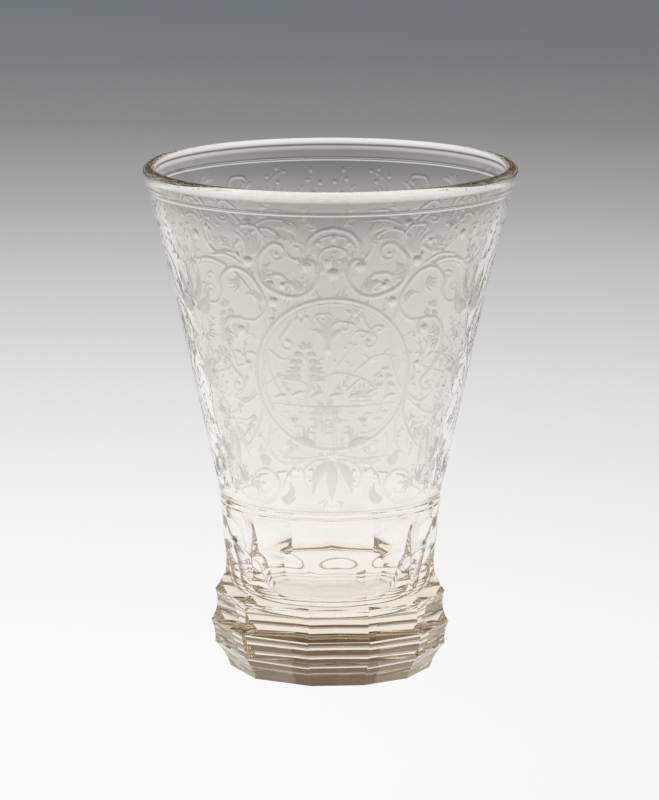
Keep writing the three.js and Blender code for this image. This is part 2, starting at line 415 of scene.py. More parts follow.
@dataclass
class StrapworkPanel:
    """Strapwork with scrolls and acanthus about a round medallion. Sizes in millimetres."""

    medallion_height: float = 79.9
    medallion_radius: float = 19.3
    medallion_band: float = 1.2
    inner_line: float = 1.15
    picture_radius: float = 17.6
    ground_height: float = 71.7

    def draw(self, hand: Engraver, angle: float, picture_side: int) -> None:
        """Engrave the whole panel.

        Args:
            hand: Engraver who cuts it.
            angle: Direction of its middle, in degrees from the front.
            picture_side: 1, or -1 for a mirrored picture.
        """
        for side in (1, -1):
            half = hand.at(angle, side)
            self.scrolls(half)
            self.side_scrolls(half)
            self.leaves_in_scrolls(half)
            self.crest(half)
            self.lower_straps(half)
            self.palmette(half)
        self.middle(hand.at(angle))
        self.picture(hand.at(angle, picture_side))

    def scrolls(self, half: Engraver) -> None:
        """Pair of round scrolls above the medallion.

        Args:
            half: Hand that works on one half of the panel.
        """
        half.band([(16.0, 112.2), (18.6, 109.0), (18.3, 104.3), (15.5, 101.3), (10.0, 99.6),
                   (6.0, 100.8), (3.7, 104.0), (4.1, 107.3)], 1.4,
                  first=Curl(2.7, 0.95, 1, 0.5), last=Curl(2.3, 0.62, -1, 1.25), tips=(0.5, 0.9))
        half.bead((21.3, 108.1), 1.2)
        half.bead((14.7, 98.1), 1.1)

    def side_scrolls(self, half: Engraver) -> None:
        """Scrolls down each side of the medallion.

        Args:
            half: Hand that works on one half of the panel.
        """
        half.band([(29.6, 99.4), (29.7, 102.6), (26.4, 105.8), (21.8, 104.8), (18.2, 100.6),
                   (16.7, 96.6), (19.2, 93.2), (23.0, 92.8)], 1.3,
                  first=Curl(3.4, 0.95, 1, 0.5), tips=(0.4, 0.8))
        half.band([(24.6, 93.2), (27.6, 92.5), (29.8, 89.2), (29.6, 85.0), (26.9, 80.4), (23.7, 77.6)], 1.3,
                  first=Curl(2.9, 0.7, 1, 1.2), last=Curl(2.2, 0.8, 1, 0.8), tips=(0.7, 0.6))
        half.band([(26.6, 72.9), (22.6, 71.5), (19.0, 74.2)], 0.8, tips=(0.3, 0.8))
        half.bead((22.0, 81.5), 0.85)
        half.frond([(20.4, 79.0), (22.8, 84.0), (21.8, 89.5)], 4, 2.6)

    def leaves_in_scrolls(self, half: Engraver) -> None:
        """Acanthus that springs from the straps into the scrolls.

        Args:
            half: Hand that works on one half of the panel.
        """
        half.fan((9.0, 100.6), (28, 96), (4.6, 3.0), 4, 1.1, 0.3)
        half.fan((17.4, 103.2), (118, 172), (4.4, 2.4), 4, 0.9, -0.3)
        half.fan((17.6, 107.4), (150, 205), (2.4, 2.6), 3, 0.8, 0.3)
        half.bead((12.4, 102.3), 0.75)
        half.fan((24.6, 103.6), (-65, -10), (4.4, 3.2), 4, 0.9, -0.3)
        half.fan((18.4, 97.4), (20, 88), (4.8, 3.0), 4, 0.9, 0.28)
        half.fan((27.9, 90.4), (205, 262), (3.2, 3.6), 3, 0.8, 0.3)
        half.fan((28.7, 86.4), (190, 240), (3.4, 3.0), 3, 0.8, -0.25)

    def crest(self, half: Engraver) -> None:
        """Arch, wings and plumes between the scrolls and the lip.

        Args:
            half: Hand that works on one half of the panel.
        """
        half.band([(0.0, 117.2), (3.6, 116.3), (6.2, 113.8), (7.2, 110.4)], 1.1, tips=(1, 0.6))
        half.band([(0.0, 115.4), (2.9, 114.7), (4.7, 112.9), (5.5, 110.8)], 0.5, tips=(1, 0.6))
        half.band([(0.0, 112.4), (2.4, 111.6), (3.6, 109.8)], 0.7, tips=(1, 0.7))
        half.bead((3.6, 113.2), 0.55)
        half.fan((8.8, 115.4), (14, 62), (6.6, 3.6), 6, 0.7, 0.12)
        half.frond([(8.6, 113.4), (12.2, 114.2), (16.0, 113.9)], 4, 1.7, 50)
        half.fan((21.6, 109.6), (52, 128), (7.2, 5.2), 5, 1.3, 0.22)
        half.band([(17.2, 114.4), (19.6, 117.0), (22.8, 117.2)], 0.7,
                  last=Curl(1.2, 0.7, -1), tips=(0.5, 0.6))
        half.frond([(24.4, 109.0), (28.4, 112.2), (33.0, 112.6)], 5, 3.2, 45, 1.0)
        half.berries([(29.0, 114.4), (32.4, 116.4), (35.6, 117.8)], 4)
        half.band([(23.4, 107.2), (28.2, 109.0), (34.4, 108.2)], 0.6, tips=(0.6, 0.3))

    def lower_straps(self, half: Engraver) -> None:
        """Straps that fall from the medallion and roll up above the ring lines.

        Args:
            half: Hand that works on one half of the panel.
        """
        half.band([(18.3, 75.4), (17.9, 69.8), (19.3, 64.6), (22.4, 59.8)], 1.1, tips=(0.6, 0.5))
        half.band([(17.0, 70.6), (15.9, 65.8), (16.6, 60.8), (19.2, 57.6)], 0.7, tips=(0.3, 0.5))
        half.frond([(19.8, 69.6), (21.8, 64.6), (24.8, 61.2)], 5, 2.6, 42)
        half.band([(29.0, 54.6), (27.4, 49.8), (23.4, 46.4), (18.2, 45.9)], 1.1,
                  last=Curl(4.9, 1.15, -1, 0.7, 0.55), tips=(0.4, 0.7))
        half.fan((21.6, 49.6), (150, 222), (4.2, 3.2), 4, 1.0, -0.28)
        half.fan((24.8, 50.8), (60, 150), (5.0, 3.4), 4, 1.1, 0.2)
        half.fan((12.8, 47.6), (112, 182), (5.2, 3.6), 5, 1.1, 0.3)
        half.hair([(12.6, 49.4), (11.4, 53.4), (8.6, 57.6)])
        half.frond([(11.4, 53.0), (9.6, 55.2), (7.6, 55.6)], 3, 1.5, 50, 0.7)

    def palmette(self, half: Engraver) -> None:
        """Hanging flower and leaves under the medallion.

        Args:
            half: Hand that works on one half of the panel.
        """
        half.leaf((0.9, 57.6), -66, 9.6, 3.0, 0.10, Wheel.ROUND)
        half.band([(0.8, 57.9), (4.6, 57.2), (6.9, 54.6), (6.6, 51.6)], 0.8, last=Curl(1.2, 0.75, -1, 0.45))
        half.fan((1.2, 47.2), (-62, -20), (2.2, 2.6), 2, 0.5, 0.1)
        half.fan((4.4, 60.2), (12, 62), (7.8, 3.0), 5, 1.4, 0.24)
        half.hair([(1.4, 59.2), (7.8, 58.2), (14.4, 58.6)], 0.5)

    def middle(self, hand: Engraver) -> None:
        """Cuts on the panel's middle line, and the medallion's rim.

        Args:
            hand: Hand that cuts it.
        """
        corners = 48
        turn = np.linspace(0, 2 * math.pi, corners + 1)
        centre, radius = self.medallion_height, self.medallion_radius
        for size, width in ((radius, self.medallion_band), (radius - self.inner_line, 0.3)):
            ring = [(size * math.sin(a), centre + size * math.cos(a)) for a in turn]
            hand.band(ring, width)
        hand.bead((0.0, 105.6), 1.35)
        hand.bead((0.0, 114.5), 0.6)
        hand.bead((0.0, 59.0), 1.2)
        hand.leaf((0.0, 57.4), -90, 10.4, 3.2, 0.0, Wheel.ROUND)
        hand.berries([(-0.4, 107.4), (0.5, 109.4), (0.0, 111.2)], 4, 0.34, 1.0)
        hand.hair([(-2.2, 46.6), (0.0, 45.6), (2.2, 46.6)], 0.35)

    def picture(self, hand: Engraver) -> None:
        """A quiet landscape of the maker's own: hills, trees, a cottage and still water.

        Args:
            hand: Hand that cuts it.
        """
        ground = self.ground_height
        hand.hair([(-15.6, ground + 0.4), (-8.0, ground), (0.0, ground - 0.2), (15.6, ground + 0.3)], 0.7)
        self.water(hand)
        hand.hair([(-17.0, 76.8), (-12.4, 79.4), (-8.4, 78.4), (-3.4, 75.6)], 0.6)
        hand.hair([(-5.6, 77.0), (0.4, 80.2), (6.4, 79.0), (11.6, 76.6)], 0.6)
        hand.hair([(4.4, 79.8), (10.6, 84.4), (16.6, 83.8)], 0.6)
        first, spacing, level, stagger = -14.6, 4.5, 73.4, 0.5
        for k in range(7):
            tuft = (first + spacing * k, level + stagger * (k % 2))
            hand.leaf(tuft, 8 + 10 * (k % 3), 4.2, 1.0, 0.12, Wheel.BROAD)
        self.tree(hand, (-6.8, ground), 15.0, 5)
        self.tree(hand, (13.0, ground + 1.2), 8.0, 3)
        self.cottage(hand, (4.2, ground + 1.0), 5.6)
        self.clouds(hand)

    def water(self, hand: Engraver) -> None:
        """Short level ripples below the shore, kept inside the medallion.

        Args:
            hand: Hand that cuts it.
        """
        ground, centre, reach = self.ground_height, self.medallion_height, self.picture_radius
        shore, last_row, row_gap, rim_gap, stagger, spacing = 1.9, 1.0, 1.7, 1.6, 1.2, 4.1
        for row, height in enumerate(np.arange(ground - shore, centre - reach + last_row, -row_gap)):
            half_width = math.sqrt(max(0.0, reach ** 2 - (height - centre) ** 2)) - rim_gap
            for along in np.arange(-half_width + stagger * (row % 2), half_width, spacing):
                hand.hair([(along, height), (along + 1.1, height + 0.16), (along + 2.3, height)], 0.5)
        for foot in (-9.4, 7.6):
            hand.fan((foot, ground - 4.6), (58, 122), (2.6, 2.6), 5, 0.5, 0.06)

    def tree(self, hand: Engraver, foot: Point, height: float, tiers: int) -> None:
        """Tree with a bowed trunk and tiers of leafy boughs.

        Args:
            hand: Hand that cuts it.
            foot: Where it stands.
            height: Its height.
            tiers: Number of tiers.
        """
        x, z = foot
        trunk = ((0.0, 0.0), (0.06, 0.45), (0.02, 0.92))
        bare, leafy, breadth, bough_start, twigs = 0.42, 0.56, 0.44, 0.35, 5
        droop, sweep, inner_reach, outer_reach = 88, 112, 0.52, 0.34
        hand.band([(x + a * height, z + b * height) for a, b in trunk], 0.09 * height, tips=(1.0, 0.3))
        for tier in range(tiers):
            share = bare + leafy * tier / max(1, tiers - 1)
            spread = height * breadth * math.sin(math.pi * (0.30 + 0.62 * share))
            for side in (-1, 1):
                bough = (x + side * bough_start * spread, z + share * height)
                start = 90 - side * droop
                hand.fan(bough, (start, start + side * sweep), (inner_reach * spread, outer_reach * spread),
                         twigs, 0.085 * height, 0.12 * side, Wheel.ROUND)
        tip, tip_reach = (x, z + 0.96 * height), 0.16 * height
        hand.fan(tip, (28, 152), (tip_reach, tip_reach), twigs, 0.07 * height, 0.0, Wheel.ROUND)

    def cottage(self, hand: Engraver, foot: Point, width: float) -> None:
        """Small gabled cottage: a washed wall, a roof with ribs and a door.

        Args:
            hand: Hand that cuts it.
            foot: Left end of its base.
            width: Width of its front.
        """
        x, z = foot
        eaves, ridge = z + 0.55 * width, z + width
        lowest, course, rib_gap, overhang, pitch = 0.06, 0.11, 0.2, 0.5, 0.9
        for k in range(5):
            level = z + lowest * width + course * width * k
            hand.hair([(x, level), (x + width / 2, level), (x + width, level)], 0.55)
        hand.band([(x - overhang, eaves), (x + width / 2, ridge), (x + width + overhang, eaves)], 0.7)
        for k in range(4):
            along = x + width * (rib_gap + rib_gap * k)
            hand.hair([(along, eaves + 0.1), (along, ridge - abs(along - x - width / 2) * pitch)], 0.5)
        hand.bead((x + 0.5 * width, z + 0.2 * width), 0.6)

    def clouds(self, hand: Engraver) -> None:
        """Rolled clouds and two birds in the sky of the medallion.

        Args:
            hand: Hand that cuts it.
        """
        for x, z, size in ((2.6, 91.6, 1.7), (7.2, 89.4, 1.3), (-2.4, 94.2, 1.2), (11.2, 91.0, 1.0)):
            hand.band([(x - 2 * size, z), (x - size, z + 0.9 * size), (x, z + size)], 0.7,
                      last=Curl(0.8 * size, 0.7, -1), tips=(0.3, 0.8))
            hand.band([(x, z + 0.9 * size), (x + 1.1 * size, z + 0.8 * size), (x + 2 * size, z)], 0.6,
                      tips=(0.7, 0.3))
        for x, z in ((8.6, 86.6), (4.8, 87.2)):
            hand.fan((x, z), (150, 30), (1.5, 1.5), 2, 0.5, -0.15)


@dataclass
class FlowerColumn:
    """Spray of flowers that climbs between two panels. Sizes in millimetres."""

    foot_height: float = 45.4
    rose_height: float = 57.0
    tulip_height: float = 74.0
    lily_height: float = 95.0

    def draw(self, hand: Engraver) -> None:
        """Engrave the spray about the hand's middle line.

        Args:
            hand: Hand that cuts it.
        """
        hand.band([(0.0, self.foot_height), (-1.2, 51.0), (0.4, self.rose_height)], 0.7, tips=(0.4, 1))
        hand.flower((0.4, self.rose_height), 4.6, 8, 2.6, 12)
        hand.band([(0.8, 61.0), (1.6, 67.4), (0.0, self.tulip_height)], 0.7)
        self.tulip(hand, (0.0, self.tulip_height), 8.6)
        hand.band([(0.0, 81.6), (-1.4, 88.0), (0.0, self.lily_height)], 0.7)
        self.lily(hand, (0.0, self.lily_height), 11.0)
        for side in (1, -1):
            half = hand.at(hand.angle, side * hand.side)
            half.frond([(0.8, 47.0), (3.4, 49.6), (3.6, 53.4)], 4, 2.4)
            half.frond([(0.9, 63.4), (4.2, 65.0), (6.2, 69.6)], 5, 2.8)
            half.berries([(1.4, 68.4), (4.4, 72.0), (7.0, 74.6)], 4, 0.4)
            half.frond([(0.6, 86.2), (4.0, 87.4), (6.6, 91.8)], 5, 3.2)
            half.flower((7.4, 82.6), 2.7, 6, 1.6, 20 * side)
            half.hair([(0.8, 80.6), (4.0, 80.2), (6.2, 81.8)])
            half.frond([(1.2, 104.6), (5.6, 107.8), (6.6, 113.4)], 5, 3.4)
            half.berries([(0.6, 108.4), (2.8, 113.4), (4.4, 118.0)], 5, 0.5)

    def tulip(self, hand: Engraver, foot: Point, size: float) -> None:
        """Half-open flower with five broad petals.

        Args:
            hand: Hand that cuts it.
            foot: Where its petals spring from.
            size: Length of the middle petal.
        """
        hand.leaf(foot, 90, size, 3.6, 0.0, Wheel.ROUND)
        for side in (1, -1):
            hand.leaf(foot, 90 - side * 24, 0.96 * size, 2.8, side * 0.18, Wheel.ROUND)
            hand.leaf(foot, 90 - side * 50, 0.8 * size, 2.2, side * 0.24, Wheel.ROUND)
        hand.bead((foot[0], foot[1] - 0.4), 1.0)

    def lily(self, hand: Engraver, foot: Point, size: float) -> None:
        """Large drooping flower with long petals and stamens.

        Args:
            hand: Hand that cuts it.
            foot: Where its petals spring from.
            size: Length of the middle petal.
        """
        width = 2.7
        hand.leaf(foot, 90, size, width, 0.0, Wheel.ROUND)
        for lean, share, bow in ((28, 0.95, 0.12), (56, 0.84, 0.24), (84, 0.62, 0.3)):
            for side in (-1, 1):
                hand.leaf(foot, 90 + side * lean, share * size, width, side * bow, Wheel.ROUND)
        for heading in (76, 104):
            hand.leaf((foot[0], foot[1] + 0.5 * size), heading, 0.75 * size, 0.5, 0.0)
        hand.bead(foot, 1.3)


def soft_least(a: float | np.ndarray, b: float | np.ndarray, softness: float) -> float | np.ndarray:
    """Lesser of two radii, rounded off where they cross.

    Args:
        a: One radius, or one for each direction.
        b: The other.
        softness: Difference between them below which they blend.

    Returns:
        The blended radius, which lies a little below both where they cross.
    """
    blend = np.clip(1 - np.abs(a - b) / softness, 0, 1)
    return np.minimum(a, b) - blend ** 2 * softness / 4


@dataclass
class Ring:
    """One level ring of the glass. A radius or matt share that is one number holds all round."""

    radius: float | np.ndarray
    height: float
    frost: float | np.ndarray = 0.0


@dataclass
class CutFoot:
    """Solid foot: three rows of hollow facets and the coves above them. Sizes in millimetres."""

    base_row: float = 6.2
    lower_row: float = 5.7
    upper_row: float = 7.8
    cove_rise: float = 4.35
    cove_tilt: float = 1.0
    cove_height: float = 6.3
    base_radius: float = 25.0
    low_ridge_radius: float = 28.75
    wide_ridge_radius: float = 29.75
    shoulder_radius: float = 28.75
    cove_radius: float = 26.4
    waist_radius: float = 26.3
    wheels: tuple[float, float, float, float] = (14.5, 10.7, 8.4, 12.0)
    facet_widths: tuple[float, ...] = (37, 30, 30, 32, 35, 35, 28, 26, 34, 35, 38)
    first_edge: float = -137.8
    arch_softness: float = 0.5
    arch_reach: float = 9.0
    facing: float = 0.5
    blank_margin: float = 1.0
    row_rings: int = 16
    cove_rings: int = 70
    base_shares: tuple[float, ...] = (0.25, 0.5, 0.75, 0.93)

    @property
    def levels(self) -> tuple[float, float, float, float, float]:
        """Heights of the base edge, both ridges, the shoulder and the waist.

        Returns:
            Heights, listed upwards.
        """
        low = self.base_row
        wide = low + self.lower_row
        shoulder = wide + self.upper_row
        return 0.0, low, wide, shoulder, shoulder + self.cove_height

    def facets(self) -> list[tuple[float, float]]:
        """Middle direction and half width of each facet, in radians.

        Returns:
            One pair for each facet, anticlockwise seen from above.
        """
        whole = sum(self.facet_widths)
        edge = math.radians(self.first_edge)
        found = []
        for width in self.facet_widths:
            half = math.pi * width / whole
            found.append((edge + half, half))
            edge += 2 * half
        return found

    def columns(self, count: int) -> np.ndarray:
        """Directions round the glass, with one on every arris between two facets.

        Args:
            count: Number wanted, which is met closely.

        Returns:
            Directions in radians.
        """
        runs = []
        for middle, half in self.facets():
            steps = max(2, round(count * half / math.pi))
            runs.append(np.linspace(middle - half, middle + half, steps, endpoint=False))
        return np.concatenate(runs)

    def hollow_at(self, height: float, row: int, half: float, middle: float) -> float | None:
        """Distance from the axis to a facet's middle line.

        Args:
            height: Height above the base.
            row: Row of the facet from the base up, the cove being the last.
            half: Half width of the facet, in radians.
            middle: Its direction, in radians.

        Returns:
            The distance, or None where the wheel doesn't reach.
        """
        cove_end = self.levels[3] + self.cove_rise - self.cove_tilt * math.sin(middle)
        levels = (*self.levels[:4], cove_end)
        radii = (self.base_radius, self.low_ridge_radius, self.wide_ridge_radius,
                 self.shoulder_radius, self.cove_radius)
        wheel = self.wheels[row]
        inset = math.cos(half)
        a = Vector((radii[row] * inset, levels[row]))
        b = Vector((radii[row + 1] * inset, levels[row + 1]))
        chord = b - a
        rise = math.sqrt(wheel ** 2 - chord.length_squared / 4)
        centre = (a + b) / 2 + Vector((chord.y, -chord.x)).normalized() * rise
        if abs(height - centre.y) >= wheel:
            return None
        return centre.x - math.sqrt(wheel ** 2 - (height - centre.y) ** 2)

    def radius_at(self, columns: np.ndarray, height: float, uncut: float) -> np.ndarray:
        """Outside radius in each direction at one height.

        Args:
            columns: Directions, in radians.
            height: Height above the base.
            uncut: Radius of the round glass before the facets are cut.

        Returns:
            Radius in each direction.
        """
        cut = np.full(len(columns), np.inf)
        for middle, half in self.facets():
            lean = np.cos(columns - middle)
            faces = lean > self.facing
            for row in range(len(self.wheels)):
                distance = self.hollow_at(height, row, half, middle)
                if distance is not None:
                    cut[faces] = np.minimum(cut[faces], distance / lean[faces])
        return soft_least(cut, uncut, self.arch_softness)

    def rings(self, columns: np.ndarray, uncut_at: Callable[[float], float]) -> list[Ring]:
        """Rings of the base and of the cut outside.

        Args:
            columns: Directions round the glass, in radians.
            uncut_at: Radius of the round glass before the facets are cut, at a height.

        Returns:
            Rings from the middle of the base outwards and up.
        """
        base, low, wide, shoulder, waist = self.levels
        edge = self.radius_at(columns, base, self.wide_ridge_radius + self.blank_margin)
        heights = [np.linspace(a, b, self.row_rings, endpoint=False)
                   for a, b in ((base, low), (low, wide), (wide, shoulder))]
        heights.append(np.linspace(shoulder, waist + self.arch_reach, self.cove_rings, endpoint=False))
        found = [Ring(edge * share, base) for share in self.base_shares]
        found += [Ring(self.radius_at(columns, z, uncut_at(z)), z) for z in np.concatenate(heights)]
        return found


def ground_line(radius_at: Callable[[float], float], height: float, width: float, depth: float,
                halfway: int = 6, roundness: float = 1.2) -> list[Ring]:
    """Rings of a round-bottomed line ground about the glass.

    Args:
        radius_at: Radius of the uncut glass at a height.
        height: Height of the line's middle.
        width: Width of the line.
        depth: Depth of the line.
        halfway: Rings between the line's edge and its middle.
        roundness: Power of the cosine that shapes the line's bottom.

    Returns:
        Rings, listed upwards.
    """
    found = []
    for k in range(-halfway, halfway + 1):
        z = height + width / 2 * k / halfway
        cut = depth * math.cos(math.pi / 2 * k / halfway) ** roundness
        found.append(Ring(radius_at(z) - cut, z))
    return found


@dataclass
class Neck:
    """Smooth neck between the coves and the two ring lines. Sizes in millimetres."""

    height: float = 16.3
    widening: float = 1.76
    ring_radius: float = 27.3
    ring_spacing: float = 1.5
    line_width: float = 0.75
    line_depth: float = 0.09
    ring_step: float = 0.5
    rings_between: int = 3

    def radius_at(self, height: float, waist: float, waist_radius: float) -> float:
        """Outside radius of the round neck, which widens slowly to the ring lines."""
        share = min(1.0, max(0.0, (height - waist) / self.height))
        return waist_radius + (self.ring_radius - waist_radius) * share ** self.widening

    def rings(self, foot: CutFoot, columns: np.ndarray) -> list[Ring]:
        """Rings from the arches of the coves to above the upper ring line.

        Args:
            foot: The cut foot, whose arches run up into the neck.
            columns: Directions round the glass, in radians.

        Returns:
            Rings, listed upwards.
        """
        waist = foot.levels[-1]
        lower = waist + self.height
        upper = lower + self.ring_spacing
        found = []
        for z in np.arange(waist + foot.arch_reach, lower - self.line_width, self.ring_step):
            found.append(Ring(foot.radius_at(columns, z, self.radius_at(z, waist, foot.waist_radius)), z))
        first, second = (ground_line(lambda _: self.ring_radius, z, self.line_width, self.line_depth)
                         for z in (lower, upper))
        between = np.linspace(lower + self.line_width / 2, upper - self.line_width / 2,
                              self.rings_between + 2)[1:-1]
        return found + first + [Ring(self.ring_radius, z) for z in between] + second


@dataclass
class EngravedWall:
    """Conical wall with its engraving. Sizes in millimetres."""

    height: float = 76.6
    foot_radius: float = 27.3
    top_radius: float = 45.3
    flare_height: float = 27.0
    flare_reach: float = 1.1
    foot_level: float = 43.8
    margin: float = 0.55
    row_step: float = 0.26
    panels: int = 3
    mirrored_panel: int = 1
    front_offset: float = 1.0
    panel: StrapworkPanel = field(default_factory=StrapworkPanel)
    column: FlowerColumn = field(default_factory=FlowerColumn)

    @property
    def top_level(self) -> float:
        """Height of the line under the lip."""
        return self.foot_level + self.height

    def radius_at(self, height: float | np.ndarray) -> float | np.ndarray:
        """Outside radius: a straight cone that swings out over its last stretch.

        Args:
            height: Height or heights above the base.

        Returns:
            Radius at each height.
        """
        share = (height - self.foot_level) / self.height
        straight = self.foot_radius + (self.top_radius - self.flare_reach - self.foot_radius) * share
        swing = np.maximum(0, (height - self.top_level + self.flare_height) / self.flare_height)
        return straight + self.flare_reach * swing ** 2

    def engrave(self, columns: np.ndarray, heights: np.ndarray) -> WallSheet:
        """Cut the whole decoration.

        Args:
            columns: Directions of the fine columns, in radians.
            heights: Heights of the rows.

        Returns:
            The wall with its cuts.
        """
        angles = columns - math.radians(FRONT)
        sheet = WallSheet(angles, heights, self.radius_at(heights))
        hand = Engraver(sheet)
        spacing = 360 / self.panels
        for k in range(self.panels):
            middle = self.front_offset + k * spacing
            self.panel.draw(hand, middle, -1 if k == self.mirrored_panel else 1)
            self.column.draw(hand.at(middle + spacing / 2, 1 if k % 2 else -1))
        return sheet

    def rings(self, columns: np.ndarray) -> list[Ring]:
        """Engraved rings from the ring lines up to the lip line.

        Args:
            columns: Directions of the fine columns, in radians.

        Returns:
            Rings, listed upwards.
        """
        low, high = self.foot_level + self.margin, self.top_level - self.margin
        heights = np.linspace(low, high, round((high - low) / self.row_step))
        sheet = self.engrave(columns, heights)
        radii = self.radius_at(heights)
        return [Ring(radii[k] - sheet.depth[k], z, sheet.frost[k]) for k, z in enumerate(heights)]


@dataclass
class Lip:
    """Plain band and round lip above the engraving. Sizes in millimetres and degrees."""

    thickness: float = 3.1
    line_width: float = 0.7
    line_depth: float = 0.08
    outer_lean: float = 12.5
    inner_lean: float = 7.5
    band_rings: int = 8
    round_rings: int = 26

    def round_at(self, angle: float, rim_radius: float, top: float) -> Point:
        """Radius and height on the round lip, at an angle from outwards over the top."""
        half = self.thickness / 2
        return rim_radius - half + half * math.cos(angle), top - half + half * math.sin(angle)

    def rings(self, wall: EngravedWall, rim_radius: float, top: float) -> list[Ring]:
        """Rings of the line under the lip, of the plain band and over the round lip.

        Args:
            wall: The wall below.
            rim_radius: Widest radius of the lip.
            top: Height of the lip.

        Returns:
            Rings, listed up the outside and over the lip.
        """
        line = wall.top_level
        found = ground_line(wall.radius_at, line, self.line_width, self.line_depth)
        start = line + self.line_width / 2
        start_radius = float(wall.radius_at(start))
        outer, inner = math.radians(self.outer_lean), math.radians(self.inner_lean)
        end_radius, end = self.round_at(-outer, rim_radius, top)
        for share in np.linspace(0, 1, self.band_rings)[1:-1]:
            found.append(Ring(start_radius + (end_radius - start_radius) * share,
                              start + (end - start) * share))
        for angle in np.linspace(-outer, math.pi + inner, self.round_rings + 1):
            found.append(Ring(*self.round_at(angle, rim_radius, top)))
        return found

    def inside_at(self, height: float, rim_radius: float, top: float) -> float:
        """Radius of the inside carried straight down from the round lip.

        Args:
            height: Height above the base.
            rim_radius: Widest radius of the lip.
            top: Height of the lip.

        Returns:
            Radius at that height.
        """
        inner = math.radians(self.inner_lean)
        end_radius, end = self.round_at(math.pi + inner, rim_radius, top)
        return end_radius - (end - height) * math.tan(inner)


@dataclass
class Cup:
    """Inside of the beaker down to its round bottom. Sizes in millimetres."""

    wall_thickness: float = 2.8
    knee_height: float = 45.0
    floor_height: float = 15.6
    floor_radius: float = 19.5
    bowl_depth: float = 12.0
    bowl_power: float = 5.4
    lip_blend: float = 1.4
    lip_gap: float = 0.5
    upper_rings: int = 90
    lower_rings: int = 24
    bowl_rings: int = 40

    def rings(self, wall: EngravedWall, lip: Lip, rim_radius: float, top: float) -> list[Ring]:
        """Rings of the inside.

        Args:
            wall: The wall, which the inside follows above the knee.
            lip: The lip that it runs up to.
            rim_radius: Widest radius of the lip.
            top: Height of the lip.

        Returns:
            Rings from the lip down to the middle of the floor.
        """
        found = []
        for z in np.linspace(top - lip.thickness / 2 - self.lip_gap, self.knee_height, self.upper_rings):
            inside = float(wall.radius_at(z)) - self.wall_thickness
            plumb = lip.inside_at(z, rim_radius, top)
            found.append(Ring(soft_least(inside, plumb, self.lip_blend), z))
        start = float(wall.radius_at(self.knee_height)) - self.wall_thickness
        edge = self.floor_height + self.bowl_depth
        for z in np.linspace(self.knee_height, edge, self.lower_rings)[1:]:
            found.append(Ring(self._side(z, start), z))
        for turn in np.linspace(0, math.pi / 2, self.bowl_rings)[1:-1]:
            z = edge - self.bowl_depth * math.sin(turn) ** (2 / self.bowl_power)
            inset = math.cos(turn) ** (2 / self.bowl_power)
            found.append(Ring(self._side(z, start) * inset, z))
        return found

    def _side(self, height: float, start: float) -> float:
        """Radius of the inside below the knee, which leans less than the wall above it."""
        share = (height - self.floor_height) / (self.knee_height - self.floor_height)
        return self.floor_radius + (start - self.floor_radius) * share


class Shading:
    """Node tree of a material or of the world, with short ways to fill it."""

    def __init__(self, owner: bpy.types.Material | bpy.types.World) -> None:
        """Empty the owner's tree.

        Args:
            owner: Material or world that the tree belongs to.
        """
        owner.use_nodes = True
        self.tree = owner.node_tree
        self.tree.nodes.clear()

    def node(self, kind: str, inputs: dict[str | int, object] | None = None,
             operation: str = "") -> bpy.types.ShaderNode:
        """Add a node.

        Args:
            kind: Its type, without the leading ShaderNode.
            inputs: Values to set and sockets to join, by the input's name or number.
            operation: What a maths node does.

        Returns:
            The new node.
        """
        made = self.tree.nodes.new("ShaderNode" + kind)
        if operation:
            made.operation = operation
        self.fill(made, inputs or {})
        return made

    def fill(self, node: bpy.types.ShaderNode, inputs: dict[str | int, object]) -> None:
        """Set or join the inputs of a node, by the input's name or number.

        Args:
            node: Node to fill.
            inputs: Values and sockets.
        """
        for name, value in inputs.items():
            if isinstance(value, bpy.types.NodeSocket):
                self.tree.links.new(value, node.inputs[name])
            else:
                node.inputs[name].default_value = value

    def ramp(self, tones: Tones, share: bpy.types.NodeSocket) -> bpy.types.NodeSocket:
        """Add a ramp of tones.

        Args:
            tones: Places from 0 to 1, each with a grey or a colour.
            share: Place to look up.

        Returns:
            Colour at that place.
        """
        made = self.node("ValToRGB", {"Fac": share})
        elements = made.color_ramp.elements
        elements.remove(elements[-1])
        for k, (place, tone) in enumerate(tones):
            stop = elements.new(place) if k else elements[0]
            stop.position = place
            stop.color = (*tone, 1) if isinstance(tone, tuple) else (tone, tone, tone, 1)
        return made.outputs["Color"]


